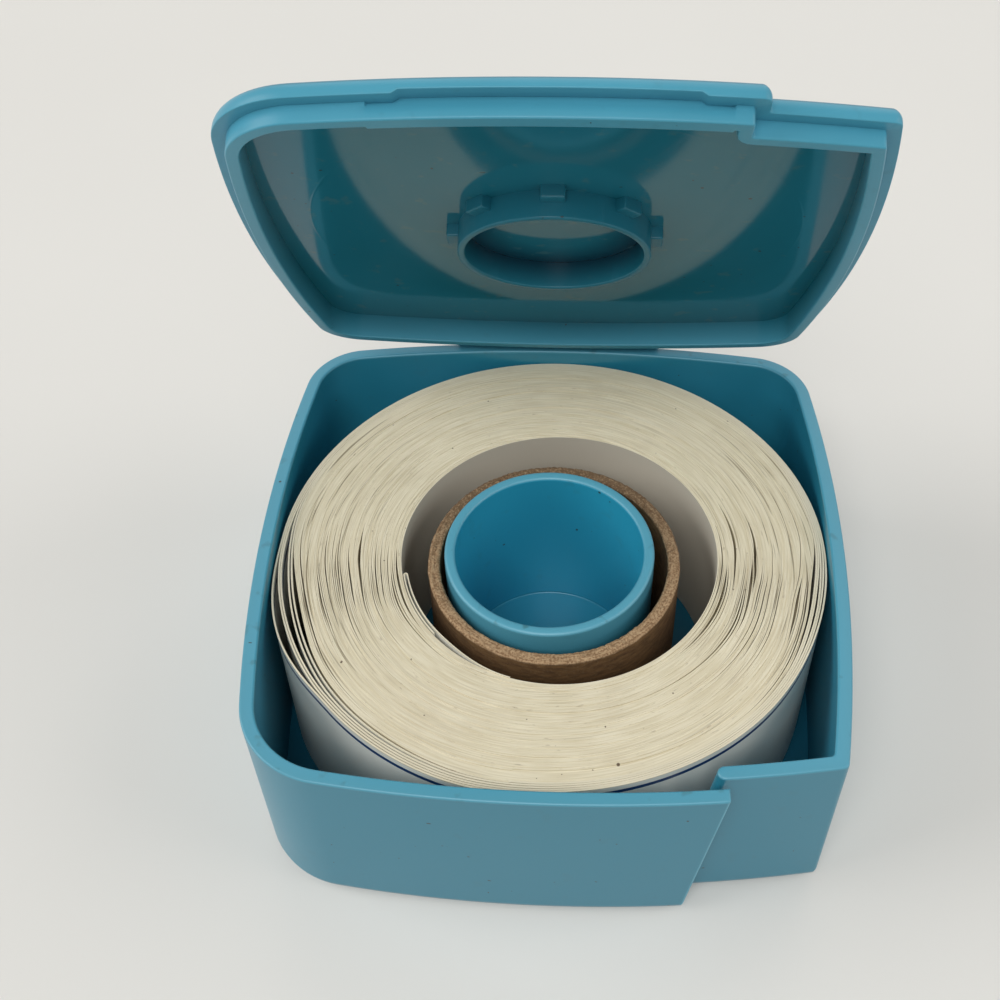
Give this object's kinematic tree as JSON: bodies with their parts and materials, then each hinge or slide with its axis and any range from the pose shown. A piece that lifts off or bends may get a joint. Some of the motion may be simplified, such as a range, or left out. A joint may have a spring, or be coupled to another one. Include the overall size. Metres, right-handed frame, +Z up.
{
  "type": "label dispenser",
  "caption": "Square hinged plastic box that holds a roll of label tape on a cardboard core over a hollow post, with a slot and a slanted tear edge at the front.",
  "frame": {"origin": "on the table under the tray, on the axis of the post that carries the roll", "axes": "+Z up from the table, -Y to the front where the tape comes out, +X to the right"},
  "size_m": [0.08, 0.0814, 0.0998],
  "materials": {
    "tray_plastic": "moulded satin gloss",
    "lid_plastic": "moulded, polished inside",
    "core_board": "raw fibrous board",
    "tape_edge": "cut paper edges",
    "tape_face": "smooth label paper"
  },
  "bodies": {
    "base": {"base_tray": "tray_plastic", "hinge_film": "tray_plastic"},
    "lid": {"lid": "lid_plastic"},
    "core": {"cardboard_core": "core_board"},
    "roll": {"label_roll": "tape_edge", "loose_turns": "tape_face", "tape_tail": "tape_face"}
  },
  "joints": [
    {"name": "lid_hinge", "type": "hinge", "parent": "base", "child": "lid", "pos_m": [0, 0.04045, 0.0295], "axis": [-1, 0, 0], "range_deg": [-61, 119], "deforming": ["hinge_film"]},
    {"name": "roll_spin", "type": "hinge", "parent": "base", "child": "roll", "pos_m": [0, 0, 0.0016], "axis": [0, 0, 1], "continuous": true},
    {"name": "core_spin", "type": "hinge", "parent": "base", "child": "core", "pos_m": [0.0006, -0.0003, 0.0016], "axis": [0, 0, 1], "continuous": true}
  ]
}
